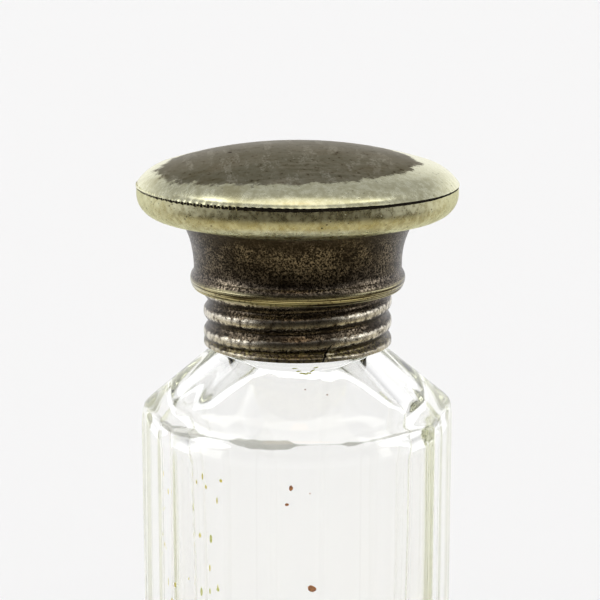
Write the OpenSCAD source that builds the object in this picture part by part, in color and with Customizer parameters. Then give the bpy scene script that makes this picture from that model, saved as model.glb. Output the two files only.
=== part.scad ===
// Dressing-table jar of cut glass with a screw-on mushroom cap of plated brass.
// Millimetres, +Z up, origin at the middle of the foot, one flat facet facing -Y.
// A metal collar with a rolled thread is cemented on the plain glass neck. The cap is spun
// in three shells and carries a threaded sleeve, which screws on the collar and pulls a
// cork liner down on the glass lip.

/* [Glass body] */
// Radius of the body measured to its corners
body_corner_r = 25; // [20:0.1:30]
// Number of cut facets round the body
facets = 10; // [8:1:12]
// Height of the edge where the wall facets meet the shoulder facets
body_h = 78.9; // [50:0.1:110]
// Slope of the shoulder facets from level, in degrees
shoulder_slope = 41; // [30:1:45]
// Rounding of the blown shoulder, which softens the corners of the cut
shoulder_round = 15; // [8:0.5:17]
// Glass thickness behind the middle of a wall facet
wall = 4.3; // [2.5:0.1:6]
// Glass thickness behind a shoulder facet
shoulder_wall = 4.2; // [2.5:0.1:5.5]
// Rounding of the hollow under its shoulder
hollow_round = 8; // [3:0.5:9]
// Rounding where the hollow's sloping top runs into the bore
throat_round = 1.6; // [0.5:0.1:2.5]
// Rounding of the hollow at its floor
floor_round = 6; // [2:0.5:8]
// Glass thickness under the hollow
base_t = 9; // [4:0.5:16]
// Rounding of the ground foot
foot_round = 3; // [1:0.1:4]
// Radius of the shallow dish ground under the foot
punt_r = 14; // [8:0.5:17]
// Depth of that dish
punt_depth = 1.2; // [0.4:0.1:2.5]

/* [Glass neck] */
// Outer radius of the plain neck
neck_r = 13; // [10:0.1:15.6]
// Radius of the bore through the neck
bore_r = 9.5; // [6:0.1:10.5]
// Blend between the neck and the shoulder
neck_fillet = 1.2; // [1:0.1:4]
// Rounding of the fire-polished lip
lip_round = 0.8; // [0.3:0.1:1.2]
// Height of the glass lip above the collar's top
lip_proud = 1; // [0.5:0.1:2]

/* [Collar] */
// Height of the collar
collar_h = 15.2; // [12:0.1:20]
// Bare neck left under the collar
collar_gap = 0.07; // [0:0.01:3]
// Thickness of the cement between the neck and the collar
cement_t = 0.7; // [0.4:0.05:1.5]
// Thickness of the collar's sheet under the thread's groove
collar_sheet = 0.42; // [0.3:0.02:0.8]
// How far the cement stays back from the collar's two ends
cement_inset = 0.5; // [0.2:0.1:1.5]

/* [Thread] */
// Rise of the thread in one turn
pitch = 3.3; // [2.5:0.1:4.5]
// Depth of the rolled groove
thread_depth = 0.7; // [0.4:0.05:0.9]
// Narrowness of the groove: 1 is a plain wave, more is narrower
groove_power = 1.6; // [1:0.1:3]
// Height of the first groove above the collar's foot, on its +X side
groove_up = 1.8; // [1:0.1:4]
// Plain band under the thread on the collar
collar_plain = 0.4; // [0.2:0.1:3]
// Length over which a groove runs in from nothing
run_in = 0.9; // [0.4:0.1:2]
// Radial clearance between the two threads
thread_clear = 0.2; // [0.12:0.01:0.3]

/* [Cap neck] */
// Height of the cap's neck from its mouth to the mushroom
skirt_h = 10.45; // [8:0.1:13]
// Thickness of the spun skirt
skirt_sheet = 0.5; // [0.3:0.05:0.8]
// Gap between the threaded sleeve and the narrowest part of the skirt
sleeve_gap = 0.06; // [0.03:0.01:0.3]
// Thickness of the threaded sleeve outside its groove
sleeve_sheet = 0.77; // [0.5:0.01:1.2]
// Height of the narrowest part of the skirt above the mouth
waist_up = 3.55; // [3.2:0.05:5]
// Radius of the skirt's flare, seen from the side
flare_r = 13.85; // [10:0.1:30]
// Radius of the bead's round section
bead_round = 1.77; // [1:0.01:2.5]
// How far the bead stands out from the waist
bead_out = 0.57; // [0.3:0.01:1]
// Height of the bead's middle above the mouth
bead_up = 1.34; // [1.2:0.01:2]
// Height of the ring that binds the mouth
mouth_ring_h = 0.55; // [0.4:0.05:1]
// Height of solder in the inner corner between skirt and mushroom
skirt_solder_h = 0.8; // [0.3:0.1:1.5]

/* [Mushroom] */
// How far the mushroom's rim stands out past the top of the skirt
cap_out = 6.81; // [5:0.01:10]
// Height of the mushroom from its underside to the crown
cap_h = 11.75; // [10.5:0.05:15]
// Radius of the shallow crown
crown_round = 72; // [50:1:120]
// Radius of the rolled shoulder round the crown
roll_round = 6.5; // [5:0.1:8]
// Height of the seam between the shells above the underside
seam_up = 5.65; // [4.8:0.05:6.5]
// How far the top shell overhangs the lower one
overhang = 0.1; // [0:0.05:0.3]
// Gap left open as the dark line between the shells
seam_gap = 0.15; // [0.05:0.01:0.3]
// Rounding between the underside and the rim of the lower shell
pan_round = 3.4; // [2:0.1:4]
// Height of that rounding's centre above the underside
pan_round_up = 4.35; // [4:0.05:5]
// Thickness of the sheet of both shells
shell_sheet = 0.55; // [0.3:0.05:0.8]
// Width of the solder behind the seam
seam_solder_w = 0.9; // [0.5:0.1:1.5]

/* [Liner] */
// Thickness of the cork liner, squeezed
cork_t = 3.25; // [2:0.05:5]
// Clearance round the cork inside the threaded sleeve
cork_clear = 0.4; // [0.3:0.05:1]

/* [Hidden] */
$fn = 96;
over = 0.1;                 // overrun of a cut past the face it opens
arc_steps = 16;             // straight steps in a drawn arc
blank_over = 1.3;           // height of the blown blank above the foot of the neck's blend
neck_sink = 0.03;           // how far the foot of that blend dips under the facets
thread_sides = 48;          // sides of a threaded surface in one turn
rows_per_pitch = 8;         // rows of a threaded surface in one pitch

// Glass
apothem = body_corner_r * cos(180 / facets);
blank_r = body_corner_r + 0.1;
fillet_end_r = neck_r + neck_fillet * (1 - sin(shoulder_slope));
shoulder_top_z = body_h + (apothem - fillet_end_r) * tan(shoulder_slope);
neck_start_z = shoulder_top_z + neck_fillet * cos(shoulder_slope);
blank_top_z = shoulder_top_z + blank_over + shoulder_round
    - sqrt(pow(shoulder_round, 2) - pow(fillet_end_r - blank_r + shoulder_round, 2));
hollow_r = apothem - wall;
throat_end_r = bore_r + throat_round * (1 - sin(shoulder_slope));
hollow_top_r = min(hollow_round, (hollow_r - throat_end_r) / (1 - sin(shoulder_slope)) - over);
hollow_top_c = [hollow_r - hollow_top_r,
                hollow_slope_z(hollow_r - hollow_top_r) - hollow_top_r / cos(shoulder_slope)];
throat_c = [bore_r + throat_round,
            hollow_slope_z(bore_r + throat_round) + throat_round / cos(shoulder_slope)];
punt_sphere_r = (punt_r * punt_r + punt_depth * punt_depth) / (2 * punt_depth);

// Collar
collar_z = neck_start_z + collar_gap;
collar_top_z = collar_z + collar_h;
lip_z = collar_top_z + lip_proud;
collar_bore_r = neck_r + cement_t;
groove_r = collar_bore_r + collar_sheet;
crest_r = groove_r + thread_depth;

// Cap
ceiling_z = lip_z + cork_t;
mouth_z = ceiling_z - skirt_h;
ring_top_z = mouth_z + mouth_ring_h;
sleeve_crest_r = crest_r + thread_clear;
sleeve_r = sleeve_crest_r + sleeve_sheet;
waist_r = sleeve_r + sleeve_gap + skirt_sheet;
waist_z = mouth_z + waist_up;
flare_top_r = waist_r + flare_r - sqrt(pow(flare_r, 2) - pow(ceiling_z - waist_z, 2));
bead_z = mouth_z + bead_up;
bead_centre_r = waist_r + bead_out - bead_round;
cap_r = flare_top_r + cap_out;
apex_z = ceiling_z + cap_h;
seam_z = ceiling_z + seam_up;
pan_round_c = [cap_r - pan_round, ceiling_z + pan_round_up];
pan_reach = pan_round_c - [flare_top_r, ceiling_z];
pan_slope = atan2(pan_reach[1], pan_reach[0]) - asin(pan_round / norm(pan_reach));
dome_edge = [cap_r + overhang, seam_z];
cork_r = sleeve_crest_r - thread_depth - cork_clear;
solder_in_r = cap_r - shell_sheet - seam_solder_w;

// Points of an arc about a centre, from one angle to another
function arc(c, r, from, to, steps = arc_steps) =
    [for (i = [0:steps]) let (a = from + (to - from) * i / steps) [c[0] + r * cos(a), c[1] + r * sin(a)]];

// Centre of the circle of radius rb about b that meets the circle of radius ra about a, outer side
function two_circle(a, ra, b, rb) =
    let (d = norm(b - a), u = (b - a) / d, x = (ra * ra - rb * rb + d * d) / (2 * d),
         h = sqrt(ra * ra - x * x))
    a + x * u + h * [-u[1], u[0]];

// Smooth step from 0 at a to 1 at b
function ease(a, b, x) = let (t = max(0, min(1, (x - a) / (b - a)))) t * t * (3 - 2 * t);

// Depth of the right-hand groove at an angle and a height, counted from the collar's foot
function groove(angle, z) =
    thread_depth * pow((1 + cos(360 * (z - groove_z) / pitch - angle)) / 2, groove_power);
groove_z = collar_z + groove_up;

// Solid of revolution between two heights, its outline given as (radius, height) points
module turned(points) rotate_extrude() polygon(points);

// Threaded tube: one wall follows the groove, the other is a plain round one.
// wave_r is the radius of the threaded wall outside the groove, plain_r that of the other.
// The groove starts above a plain band, and either ends before the top or runs out of it.
module threaded_tube(wave_r, plain_r, z0, z1, plain_band, ends_before_top) {
    rows = ceil((z1 - z0) / pitch * rows_per_pitch);
    start = z0 + plain_band;
    end = ends_before_top ? z1 - run_in : z1 + over;
    function z_of(j) = z0 + (z1 - z0) * j / rows;
    function depth(a, z) = groove(a, z) * ease(start, start + run_in, z)
        * (1 - ease(end, end + run_in, z));
    wave = [for (j = [0:rows], i = [0:thread_sides - 1])
        let (a = 360 * i / thread_sides, z = z_of(j), r = wave_r - depth(a, z))
        [r * cos(a), r * sin(a), z]];
    plain = [for (z = [z0, z1], i = [0:thread_sides - 1])
        let (a = 360 * i / thread_sides) [plain_r * cos(a), plain_r * sin(a), z]];
    base = len(wave);
    top = base + thread_sides;
    last = rows * thread_sides;
    next = [for (i = [0:thread_sides - 1]) (i + 1) % thread_sides];
    skin = [for (j = [0:rows - 1], i = [0:thread_sides - 1])
        let (p = j * thread_sides, q = p + thread_sides)
        each [[p + i, q + i, q + next[i]], [p + i, q + next[i], p + next[i]]]];
    back = [for (i = [0:thread_sides - 1])
        each [[base + i, base + next[i], top + next[i]], [base + i, top + next[i], top + i]]];
    ends = [for (i = [0:thread_sides - 1])
        each [[i, next[i], base + next[i]], [i, base + next[i], base + i],
              [last + i, top + next[i], last + next[i]], [last + i, top + i, top + next[i]]]];
    faces = concat(skin, back, ends);
    turned_over = [for (f = faces) [f[0], f[2], f[1]]];
    polyhedron(concat(wave, plain), wave_r > plain_r ? faces : turned_over);
}

// ---- glass ----

// Blown blank: round foot, straight wall and round shoulder
module glass_blank() {
    turned(concat(
        [[0, 0]],
        arc([blank_r - foot_round, foot_round], foot_round, -90, 0, 8),
        arc([blank_r - shoulder_round, blank_top_z - shoulder_round], shoulder_round, 0, 90),
        [[0, blank_top_z]]));
}

// Everything above one shoulder facet
module above_shoulder_facet() {
    far = 3 * body_corner_r;
    translate([apothem, 0, body_h])
        rotate([0, shoulder_slope, 0])
            translate([-far, -far, 0]) cube([2 * far, 2 * far, far]);
}

module glass_neck() {
    fillet_c = [neck_r + neck_fillet, neck_start_z - neck_sink];
    turned(concat(
        [[0, shoulder_top_z - 2], [fillet_end_r, shoulder_top_z - 2]],
        arc(fillet_c, neck_fillet, 270 - shoulder_slope, 180, 8),
        arc([neck_r - lip_round, lip_z - lip_round], lip_round, 0, 90, 6),
        [[0, lip_z]]));
}

// Height of the hollow's sloping top at a distance r from the axis
function hollow_slope_z(r) = body_h + (apothem - r) * tan(shoulder_slope)
    - shoulder_wall / cos(shoulder_slope);

// Space inside the jar, from its floor to its mouth
module glass_hollow() {
    turned(concat(
        [[0, base_t]],
        arc([hollow_r - floor_round, base_t + floor_round], floor_round, -90, 0, 8),
        arc(hollow_top_c, hollow_top_r, 0, 90 - shoulder_slope, 8),
        arc(throat_c, throat_round, 270 - shoulder_slope, 180, 6),
        arc([bore_r + lip_round, lip_z - lip_round], lip_round, 180, 90, 6),
        [[bore_r + lip_round, lip_z + over], [0, lip_z + over]]));
}

module glass_jar() color([0.9, 0.94, 0.9, 0.45]) difference() {
    union() {
        difference() {
            intersection() {
                glass_blank();
                cylinder(r = body_corner_r, h = lip_z, $fn = facets);
            }
            for (i = [0:facets - 1])
                rotate([0, 0, (i + 0.5) * 360 / facets]) above_shoulder_facet();
        }
        glass_neck();
    }
    glass_hollow();
    translate([0, 0, punt_depth - punt_sphere_r]) sphere(r = punt_sphere_r, $fn = 96);
}

// ---- collar on the neck ----

module neck_cement() color("ivory") translate([0, 0, collar_z + cement_inset]) difference() {
    h = collar_h - 2 * cement_inset;
    cylinder(r = collar_bore_r * cos(180 / thread_sides), h = h);
    translate([0, 0, -over]) cylinder(r = neck_r, h = h + 2 * over);
}

module neck_collar() color([0.42, 0.38, 0.33])
    threaded_tube(crest_r, collar_bore_r, collar_z, collar_top_z, collar_plain, false);

// ---- cork ----

module cork_liner() color([0.72, 0.55, 0.36])
    translate([0, 0, lip_z]) cylinder(r = cork_r, h = cork_t);

// ---- cap ----

// Outline of the skirt's outside from the mouth ring up to the mushroom, moved in by inset
function skirt_outline(inset) = concat(
    arc([bead_centre_r, bead_z], bead_round - inset,
        asin((ring_top_z - bead_z) / (bead_round - inset)),
        acos((waist_r - inset - bead_centre_r) / (bead_round - inset)), 12),
    arc([waist_r + flare_r, waist_z], flare_r + inset,
        180, 180 - asin((ceiling_z - waist_z) / (flare_r + inset)), 12));

module cap_skirt() color([0.36, 0.31, 0.27]) difference() {
    turned(concat([[0, ring_top_z]], skirt_outline(0), [[0, ceiling_z]]));
    skirt_room(over);
}

// Space inside the skirt, run past both ends by extra
module skirt_room(extra = 0) {
    inside = skirt_outline(skirt_sheet);
    turned(concat(
        [[0, ring_top_z - extra], [inside[0][0], ring_top_z - extra]],
        inside,
        [[inside[len(inside) - 1][0], ceiling_z + extra], [0, ceiling_z + extra]]));
}

module thread_sleeve() color([0.78, 0.64, 0.34])
    threaded_tube(sleeve_crest_r, sleeve_r, ring_top_z, lip_z + cork_clear, 0, true);

// Ring that binds the mouth: its inside clears the collar, its outside has two turned lines
module mouth_ring() color([0.74, 0.68, 0.42]) {
    line = 0.06;
    step = 0.2;
    bead_foot_r = bead_centre_r + sqrt(pow(bead_round, 2) - pow(ring_top_z - bead_z, 2));
    out_r = bead_foot_r - 2 * line;
    low_r = out_r - step;
    step_z = mouth_z + mouth_ring_h * 0.45;
    turned([[sleeve_crest_r, mouth_z], [low_r - line, mouth_z], [low_r, mouth_z + line],
            [low_r, step_z - line], [low_r - line, step_z], [low_r - line, step_z + line],
            [out_r - line, step_z + line], [out_r, step_z + 2 * line],
            [out_r, ring_top_z], [sleeve_crest_r, ring_top_z]]);
}

module skirt_solder() color("lightgrey") intersection() {
    low_z = ceiling_z - skirt_sheet - skirt_solder_h;
    turned([[flare_top_r, low_z], [flare_top_r, ceiling_z],
            [flare_top_r - skirt_sheet - skirt_solder_h, ceiling_z]]);
    skirt_room();
}

// Lower shell: closed floor, sloping underside and round rim, moved in by inset
module pan_solid(inset, top) {
    flat_r = flare_top_r - inset * tan(pan_slope / 2);
    turned(concat(
        [[0, ceiling_z + inset], [flat_r, ceiling_z + inset]],
        arc(pan_round_c, pan_round - inset, pan_slope - 90, 0, 12),
        [[cap_r - inset, top], [0, top]]));
}

module cap_pan() color([0.75, 0.74, 0.58]) difference() {
    pan_solid(0, seam_z - seam_gap);
    pan_solid(shell_sheet, seam_z);
}

// Upper shell's outside moved in by inset, closed below at the given height
module dome_solid(inset, bottom) {
    crown_c = [0, apex_z - crown_round];
    roll_c = two_circle(crown_c, crown_round - roll_round, dome_edge, roll_round);
    roll_top = 90 - atan2(roll_c[0] - crown_c[0], roll_c[1] - crown_c[1]);
    roll_end = asin((seam_z - roll_c[1]) / (roll_round - inset));
    crown = arc(crown_c, crown_round - inset, 90, roll_top, 14);
    roll = arc(roll_c, roll_round - inset, roll_top, roll_end, 14);
    edge_r = roll[len(roll) - 1][0];
    turned(concat(crown, roll, bottom < seam_z ? [[edge_r, bottom]] : [], [[0, bottom]]));
}

module cap_dome() color([0.7, 0.69, 0.56]) difference() {
    dome_solid(0, seam_z);
    dome_solid(shell_sheet, seam_z - over);
}

// Solder run behind the seam, fitted to the inside of both shells
module seam_solder() color("lightgrey") {
    low = seam_z - seam_gap - seam_solder_w;
    difference() {
        translate([0, 0, low]) cylinder(r = cap_r - shell_sheet, h = seam_z - seam_gap - low);
        translate([0, 0, low - over]) cylinder(r = solder_in_r, h = seam_solder_w + 2 * over);
    }
    intersection() {
        translate([0, 0, seam_z - seam_gap]) difference() {
            cylinder(r = cap_r - shell_sheet, h = seam_solder_w);
            translate([0, 0, -over]) cylinder(r = solder_in_r, h = seam_solder_w + 2 * over);
        }
        dome_solid(shell_sheet, low);
    }
}

glass_jar();
neck_cement();
neck_collar();
cork_liner();
thread_sleeve();
mouth_ring();
cap_skirt();
skirt_solder();
cap_pan();
seam_solder();
cap_dome();
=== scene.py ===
"""Looks of a cut-glass dressing jar with a tarnished mushroom screw cap.

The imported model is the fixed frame. The glass, the threaded parts and the spun shells are
made again here at the frame's own sizes, with the finish that old plate and cut glass have.
"""
import math

import bmesh
import bpy
import numpy as np
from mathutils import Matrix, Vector


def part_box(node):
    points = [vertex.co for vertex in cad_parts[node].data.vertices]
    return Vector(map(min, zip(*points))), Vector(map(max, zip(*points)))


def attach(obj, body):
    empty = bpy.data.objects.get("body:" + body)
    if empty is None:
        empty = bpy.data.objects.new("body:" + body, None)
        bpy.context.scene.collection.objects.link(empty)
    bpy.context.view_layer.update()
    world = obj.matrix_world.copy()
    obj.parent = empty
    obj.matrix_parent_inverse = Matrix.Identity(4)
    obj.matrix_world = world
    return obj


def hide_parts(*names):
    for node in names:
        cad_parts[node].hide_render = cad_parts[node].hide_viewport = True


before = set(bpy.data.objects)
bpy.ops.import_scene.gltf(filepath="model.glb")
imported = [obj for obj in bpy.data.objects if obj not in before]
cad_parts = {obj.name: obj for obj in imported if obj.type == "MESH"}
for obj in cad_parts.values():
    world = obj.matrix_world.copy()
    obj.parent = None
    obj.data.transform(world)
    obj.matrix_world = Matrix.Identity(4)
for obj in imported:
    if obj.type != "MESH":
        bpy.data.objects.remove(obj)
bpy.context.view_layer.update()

MM = 0.001


# ---------------------------------------------------------------- sizes from the frame
def node_box(name):
    """Radius, lowest and highest height of a CAD node that is centred on the jar's axis, in mm."""
    low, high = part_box(name)
    return high.x / MM, low.z / MM, high.z / MM


body_corner_r, _, lip_z = node_box("glass_jar")
crest_r, collar_z, collar_top_z = node_box("neck_collar")
_, sleeve_z, sleeve_top_z = node_box("thread_sleeve")
flare_top_r, skirt_z, ceiling_z = node_box("cap_skirt")
cap_r, _, pan_top_z = node_box("cap_pan")
dome_edge_r, seam_z, apex_z = node_box("cap_dome")
ring_r, mouth_z, ring_top_z = node_box("mouth_ring")

# Sizes that a box doesn't show, the same as in the part's source, in mm and degrees
FACETS = 10
BODY_H = 78.9
SHOULDER_SLOPE = math.radians(41)
SHOULDER_ROUND = 15.0
BLANK_OVER = 1.3
THROAT_ROUND = 1.6
WALL = 4.3
SHOULDER_WALL = 4.2
HOLLOW_ROUND = 8.0
FLOOR_ROUND = 6.0
BASE_T = 9.0
FOOT_ROUND = 3.0
PUNT_R = 14.0
PUNT_DEPTH = 1.2
NECK_R = 13.0
BORE_R = 9.5
NECK_FILLET = 1.2
LIP_ROUND = 0.8
PITCH = 3.3
THREAD_DEPTH = 0.7
GROOVE_UP = 1.8
GROOVE_POWER = 1.6
COLLAR_PLAIN = 0.4
RUN_IN = 0.9
COLLAR_SHEET = 0.42
THREAD_CLEAR = 0.2
SKIRT_SHEET = 0.5
WAIST_UP = 3.55
FLARE_R = 13.85
BEAD_ROUND = 1.77
BEAD_OUT = 0.57
BEAD_UP = 1.34
SHELL_SHEET = 0.55
CROWN_ROUND = 72.0
ROLL_ROUND = 6.5
PAN_ROUND = 3.4
PAN_ROUND_UP = 4.35

waist_z = mouth_z + WAIST_UP
waist_r = flare_top_r - FLARE_R + math.sqrt(FLARE_R ** 2 - (ceiling_z - waist_z) ** 2)
bead_c = (waist_r + BEAD_OUT - BEAD_ROUND, mouth_z + BEAD_UP)


# ---------------------------------------------------------------- meshes and objects
def new_mesh(name, points, faces, material=None):
    mesh = bpy.data.meshes.new(name)
    mesh.from_pydata(points, [], faces)
    if material:
        mesh.materials.append(material)
    return mesh


def linked(name, data):
    """New object with that data, put in the scene."""
    made = bpy.data.objects.new(name, data)
    bpy.context.scene.collection.objects.link(made)
    return made


def baked(piece):
    """Plain mesh of an object with its modifiers applied."""
    graph = bpy.context.evaluated_depsgraph_get()
    return bpy.data.meshes.new_from_object(piece.evaluated_get(graph))


def bent_strip(name, start, end, edges, steps, material=None):
    """Strip round the axis between two angles in degrees from the front.

    edges holds (distance from the axis, height) of its low and its high edge in metres.
    """
    points, faces = [], []
    for i in range(steps + 1):
        turn = math.radians(start + (end - start) * i / steps)
        points += [(r * math.sin(turn), -r * math.cos(turn), z) for r, z in edges]
    for i in range(steps):
        faces.append((2 * i, 2 * i + 1, 2 * i + 3, 2 * i + 2))
    return new_mesh(name, points, faces, material)


# ---------------------------------------------------------------- camera, light and stage
VIEW_AIM = Vector((0, 0, 95.35)) * MM
VIEW_AZIMUTH = math.radians(-3.5)
VIEW_RISE = math.radians(12.6)
VIEW_DISTANCE = 0.2946

# Soft boxes: middle azimuth, half width, lowest and highest rise in degrees, and colour.
# BOX_EDGE is half the soft border, CEILING_FADE the rises between horizon and ceiling light.
SOFT_BOXES = ((0, 78, 42, 90, (1.4, 1.37, 1.26)), (-90, 15, 10, 60, (3.4, 3.4, 3.3)),
              (74, 13, 10, 60, (3.3, 3.3, 3.2)), (-6, 17, 46, 70, (2.5, 1.9, 1.3)))
BOX_EDGE = 5
CEILING_FADE = (8, 36)
HORIZON_LIGHT = (1.25, 1.25, 1.27)
CEILING_LIGHT = (0.5, 0.5, 0.52)


def look_from(azimuth, rise):
    """Unit vector from the jar towards a viewer at that azimuth and height angle."""
    return Vector((math.sin(azimuth) * math.cos(rise), -math.cos(azimuth) * math.cos(rise),
                   math.sin(rise)))


def make_camera():
    data = bpy.data.cameras.new("camera")
    data.sensor_width = 36
    data.lens = 112.2
    data.shift_x = 0.004
    data.clip_start = 0.01
    camera = linked("camera", data)
    back = look_from(VIEW_AZIMUTH, VIEW_RISE)
    camera.rotation_mode = "QUATERNION"
    camera.rotation_quaternion = (-back).to_track_quat("-Z", "Y")
    camera.location = VIEW_AIM + back * VIEW_DISTANCE
    bpy.context.scene.camera = camera


class Wiring:
    """Short calls for the nodes that the sky, the floor and the finishes share."""

    def __init__(self, tree):
        self.tree = tree

    def put(self, socket, value):
        if isinstance(value, bpy.types.NodeSocket):
            self.tree.links.new(value, socket)
        elif isinstance(value, tuple) and len(value) == 3 and socket.type == "RGBA":
            socket.default_value = (*value, 1)
        else:
            socket.default_value = value

    def node(self, kind, settings=None, **inputs):
        """New node with those inputs. An underscore in an input's name stands for a space."""
        node = self.tree.nodes.new(kind)
        for key, value in (settings or {}).items():
            setattr(node, key, value)
        for key, value in inputs.items():
            self.put(node.inputs[key.replace("_", " ")], value)
        return node

    def math(self, kind, a, b=0.0):
        node = self.node("ShaderNodeMath", {"operation": kind})
        self.put(node.inputs[0], a)
        self.put(node.inputs[1], b)
        return node.outputs[0]

    def split(self, vector):
        return self.node("ShaderNodeSeparateXYZ", Vector=vector).outputs

    def between(self, value, low, high, to_low=0.0, to_high=1.0):
        """Smooth step of value from low to high, mapped to the two results."""
        node = self.node("ShaderNodeMapRange", {"interpolation_type": "SMOOTHSTEP"}, Value=value,
                         From_Min=low, From_Max=high, To_Min=to_low, To_Max=to_high)
        return node.outputs["Result"]

    def product(self, *factors):
        result = factors[0]
        for factor in factors[1:]:
            result = self.math("MULTIPLY", result, factor)
        return result

    def near(self, value, place, far, close):
        """1 where value is within close of place, easing to 0 at far."""
        return self.between(self.math("ABSOLUTE", self.math("SUBTRACT", value, place)), far, close)

    def blend(self, share, a, b, kind="RGBA"):
        """Mix of two colours, or of two numbers when kind is FLOAT."""
        node = self.node("ShaderNodeMix", {"data_type": kind}, Factor=share, A=a, B=b)
        return node.outputs["Result"]


def make_world():
    """Studio light: pale round the horizon, with a dim ceiling and the soft boxes in it."""
    world = bpy.data.worlds.new("studio")
    world.use_nodes = True
    w = Wiring(world.node_tree)
    x, y, z = w.split(w.node("ShaderNodeTexCoord").outputs["Generated"])
    turn = w.math("MULTIPLY", w.math("ARCTAN2", x, w.math("MULTIPLY", y, -1.0)), math.degrees(1))
    rise = w.math("MULTIPLY", w.math("ARCSINE", z), math.degrees(1))
    light = w.blend(w.between(rise, *CEILING_FADE), HORIZON_LIGHT, CEILING_LIGHT)
    for middle, half_width, low, high, colour in SOFT_BOXES:
        inside = w.product(w.near(turn, middle, half_width + BOX_EDGE, half_width - BOX_EDGE),
                           w.between(rise, low - BOX_EDGE, low + BOX_EDGE),
                           w.between(rise, high + BOX_EDGE, high - BOX_EDGE))
        light = w.blend(inside, light, colour)
    w.put(world.node_tree.nodes["Background"].inputs["Color"], light)
    bpy.context.scene.world = world
    bpy.context.scene.view_settings.view_transform = "Standard"


def let_light_through_glass():
    """Enough bounces for light that is reflected several times inside the thick glass."""
    paths = bpy.context.scene.cycles
    paths.max_bounces, paths.transmission_bounces, paths.glossy_bounces = 28, 28, 20


def plain_surface(name, colour, roughness):
    material = bpy.data.materials.new(name)
    material.use_nodes = True
    shader = material.node_tree.nodes["Principled BSDF"]
    shader.inputs["Base Color"].default_value = (*colour, 1)
    shader.inputs["Roughness"].default_value = roughness
    return material


def make_floor():
    half = 3.0
    corners = [(-half, -half, 0), (half, -half, 0), (half, half, 0), (-half, half, 0)]
    paint = plain_surface("pale_floor", (0.805, 0.82, 0.85), 0.9)
    linked("floor", new_mesh("floor", corners, [(0, 1, 2, 3)], paint))


def painted_reflection_sheet():
    """Sheet seen only in reflections: painted light of the table, pale near the jar and towards the two
    sides, and painted shade of an unlit room, dark and warm further off.
    """
    material = plain_surface("painted_reflection_sheet", (0.05, 0.04, 0.025), 1.0)
    w = Wiring(material.node_tree)
    x, y, _ = w.split(w.node("ShaderNodeTexCoord").outputs["Object"])
    away = w.math("SQRT", w.math("ADD", w.math("MULTIPLY", x, x), w.math("MULTIPLY", y, y)))
    turn = w.math("ABSOLUTE", w.math("ARCTAN2", x, w.math("MULTIPLY", y, -1.0)))
    # Painted reflection: pale near the jar as painted light on the table, dark further off as painted shade,
    # pale again at the sides towards the soft boxes.
    colour = w.blend(w.between(away, 0.08, 0.33), (0.66, 0.6, 0.4), (0.045, 0.035, 0.018))
    colour = w.blend(w.between(turn, math.radians(68), math.radians(118)), colour, (0.7, 0.68, 0.6))
    w.put(material.node_tree.nodes["Principled BSDF"].inputs["Base Color"], colour)
    return material


def make_dark_screen(name, painted_reflection, half_angle, *edges):
    """Sheet bent round the front, seen only in polished surfaces, where it paints the reflected dark room and
    lit table.
    """
    screen = linked(name, bent_strip(name, -half_angle, half_angle, edges, 32, painted_reflection))
    for ray in ("camera", "shadow", "diffuse", "transmission"):
        setattr(screen, "visible_" + ray, False)


make_camera()
make_world()
let_light_through_glass()
make_floor()
painted_reflection = painted_reflection_sheet()
make_dark_screen("table_screen", painted_reflection, 128, (0.06, 0.002), (0.9, 0.003))
make_dark_screen("front_screen", painted_reflection, 56, (0.34, 0.002), (0.34, 0.26))


# ---------------------------------------------------------------- material building
class Finish(Wiring):
    """One procedural material, with the place on the object in mm."""

    def __init__(self, name):
        self.material = bpy.data.materials.new(name)
        self.material.use_nodes = True
        super().__init__(self.material.node_tree)
        self.shader = self.tree.nodes["Principled BSDF"]
        place = self.node("ShaderNodeTexCoord").outputs["Object"]
        scale = self.node("ShaderNodeVectorMath", {"operation": "SCALE"}, Vector=place, Scale=1 / MM)
        self.place = scale.outputs[0]

    def stretched(self, factors, offset=(0.0, 0.0, 0.0)):
        """The place in mm, multiplied along each axis: small factors draw a pattern out."""
        node = self.node("ShaderNodeMapping", Vector=self.place, Scale=factors, Location=offset)
        return node.outputs[0]

    def noise(self, scale, detail=3.0, roughness=0.55, vector=None):
        node = self.node("ShaderNodeTexNoise", Vector=vector or self.place, Scale=scale,
                         Detail=detail, Roughness=roughness)
        return node.outputs["Fac"]

    def cells(self, scale):
        """Distance to the nearest of many scattered points."""
        node = self.node("ShaderNodeTexVoronoi", Vector=self.place, Scale=scale)
        return node.outputs["Distance"]

    def radius(self):
        """Distance from the jar's axis in mm."""
        x, y, _ = self.split(self.place)
        return self.math("SQRT", self.math("ADD", self.math("MULTIPLY", x, x), self.math("MULTIPLY", y, y)))

    def angle(self):
        """Angle round the axis in radians: 0 at the front, positive to the right."""
        x, y, _ = self.split(self.place)
        return self.math("ARCTAN2", x, self.math("MULTIPLY", y, -1.0))

    def bump(self, height, distance):
        """Relief of that height, in mm."""
        node = self.node("ShaderNodeBump", Strength=1.0, Distance=distance * MM, Height=height)
        return node.outputs["Normal"]

    def set(self, **values):
        for name, value in values.items():
            self.put(self.shader.inputs[name.replace("_", " ")], value)
        return self.material


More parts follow.
